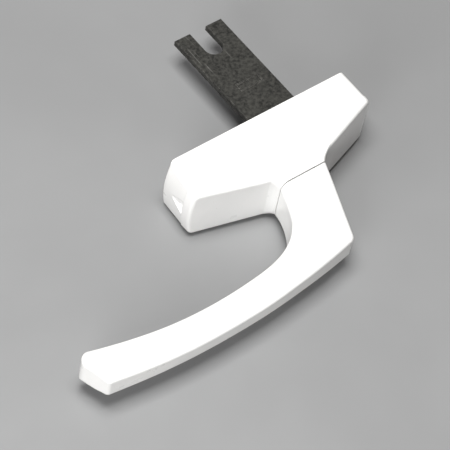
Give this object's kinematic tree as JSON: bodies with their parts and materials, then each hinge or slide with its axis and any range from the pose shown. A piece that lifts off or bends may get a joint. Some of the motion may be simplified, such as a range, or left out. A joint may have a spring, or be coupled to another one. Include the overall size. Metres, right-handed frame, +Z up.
{
  "type": "tilt turn window handle",
  "caption": "Lever handle for a tilt turn sash: a cranked grip on a narrow wedge body turns a pinion that slides a slotted driving fork behind the mounting face.",
  "frame": {"origin": "where the turning axis of the lever meets the face that lies on the sash", "axes": "+Z up along the body with the lever hanging down (closed) at rest, +Y into the sash along the fork, -Y towards the room, X across the body"},
  "size_m": [0.0278, 0.1298, 0.1737],
  "materials": {
    "white_coat": "satin powder coat, white",
    "fork_steel": "dark phosphated steel, matt",
    "bright_steel": "turned and drawn steel",
    "zinc_plate": "zinc plated sheet steel",
    "gear_steel": "sintered gear steel, lightly oiled",
    "diecast_zinc": "raw die cast zinc",
    "bush_metal": "bearing brass",
    "black_plastic": "black nylon",
    "pale_plastic": "natural acetal",
    "black_rubber": "black rubber"
  },
  "bodies": {
    "base": {"housing": "white_coat", "neck_bush": "bush_metal", "seam_ring": "black_plastic", "thrust_washer": "bright_steel", "disc_spring": "gear_steel", "slide_guides": "pale_plastic", "stop_buffers": "black_rubber", "back_plate": "zinc_plate", "back_plate_screws": "bright_steel", "mounting_nuts": "bright_steel"},
    "handle": {"lever": "white_coat", "lever_grub_screw": "bright_steel", "spindle": "bright_steel", "shaft_seal": "black_rubber", "retaining_ring": "gear_steel", "pinion": "gear_steel", "pinion_screw": "bright_steel"},
    "drive": {"rack_slide": "diecast_zinc", "fork": "fork_steel", "fork_rivets": "bright_steel"}
  },
  "joints": [
    {"name": "lever_turn", "type": "hinge", "parent": "base", "child": "handle", "pos_m": [0, 0, 0], "axis": [0, -1, 0], "range_deg": [0, 180]},
    {"name": "fork_travel", "type": "slide", "parent": "base", "child": "drive", "axis": [0, 0, -1], "range_m": [0, 0.01886]}
  ],
  "couplings": [
    {"joint": "fork_travel", "follows": "lever_turn", "m_per_rad": 0.006}
  ]
}
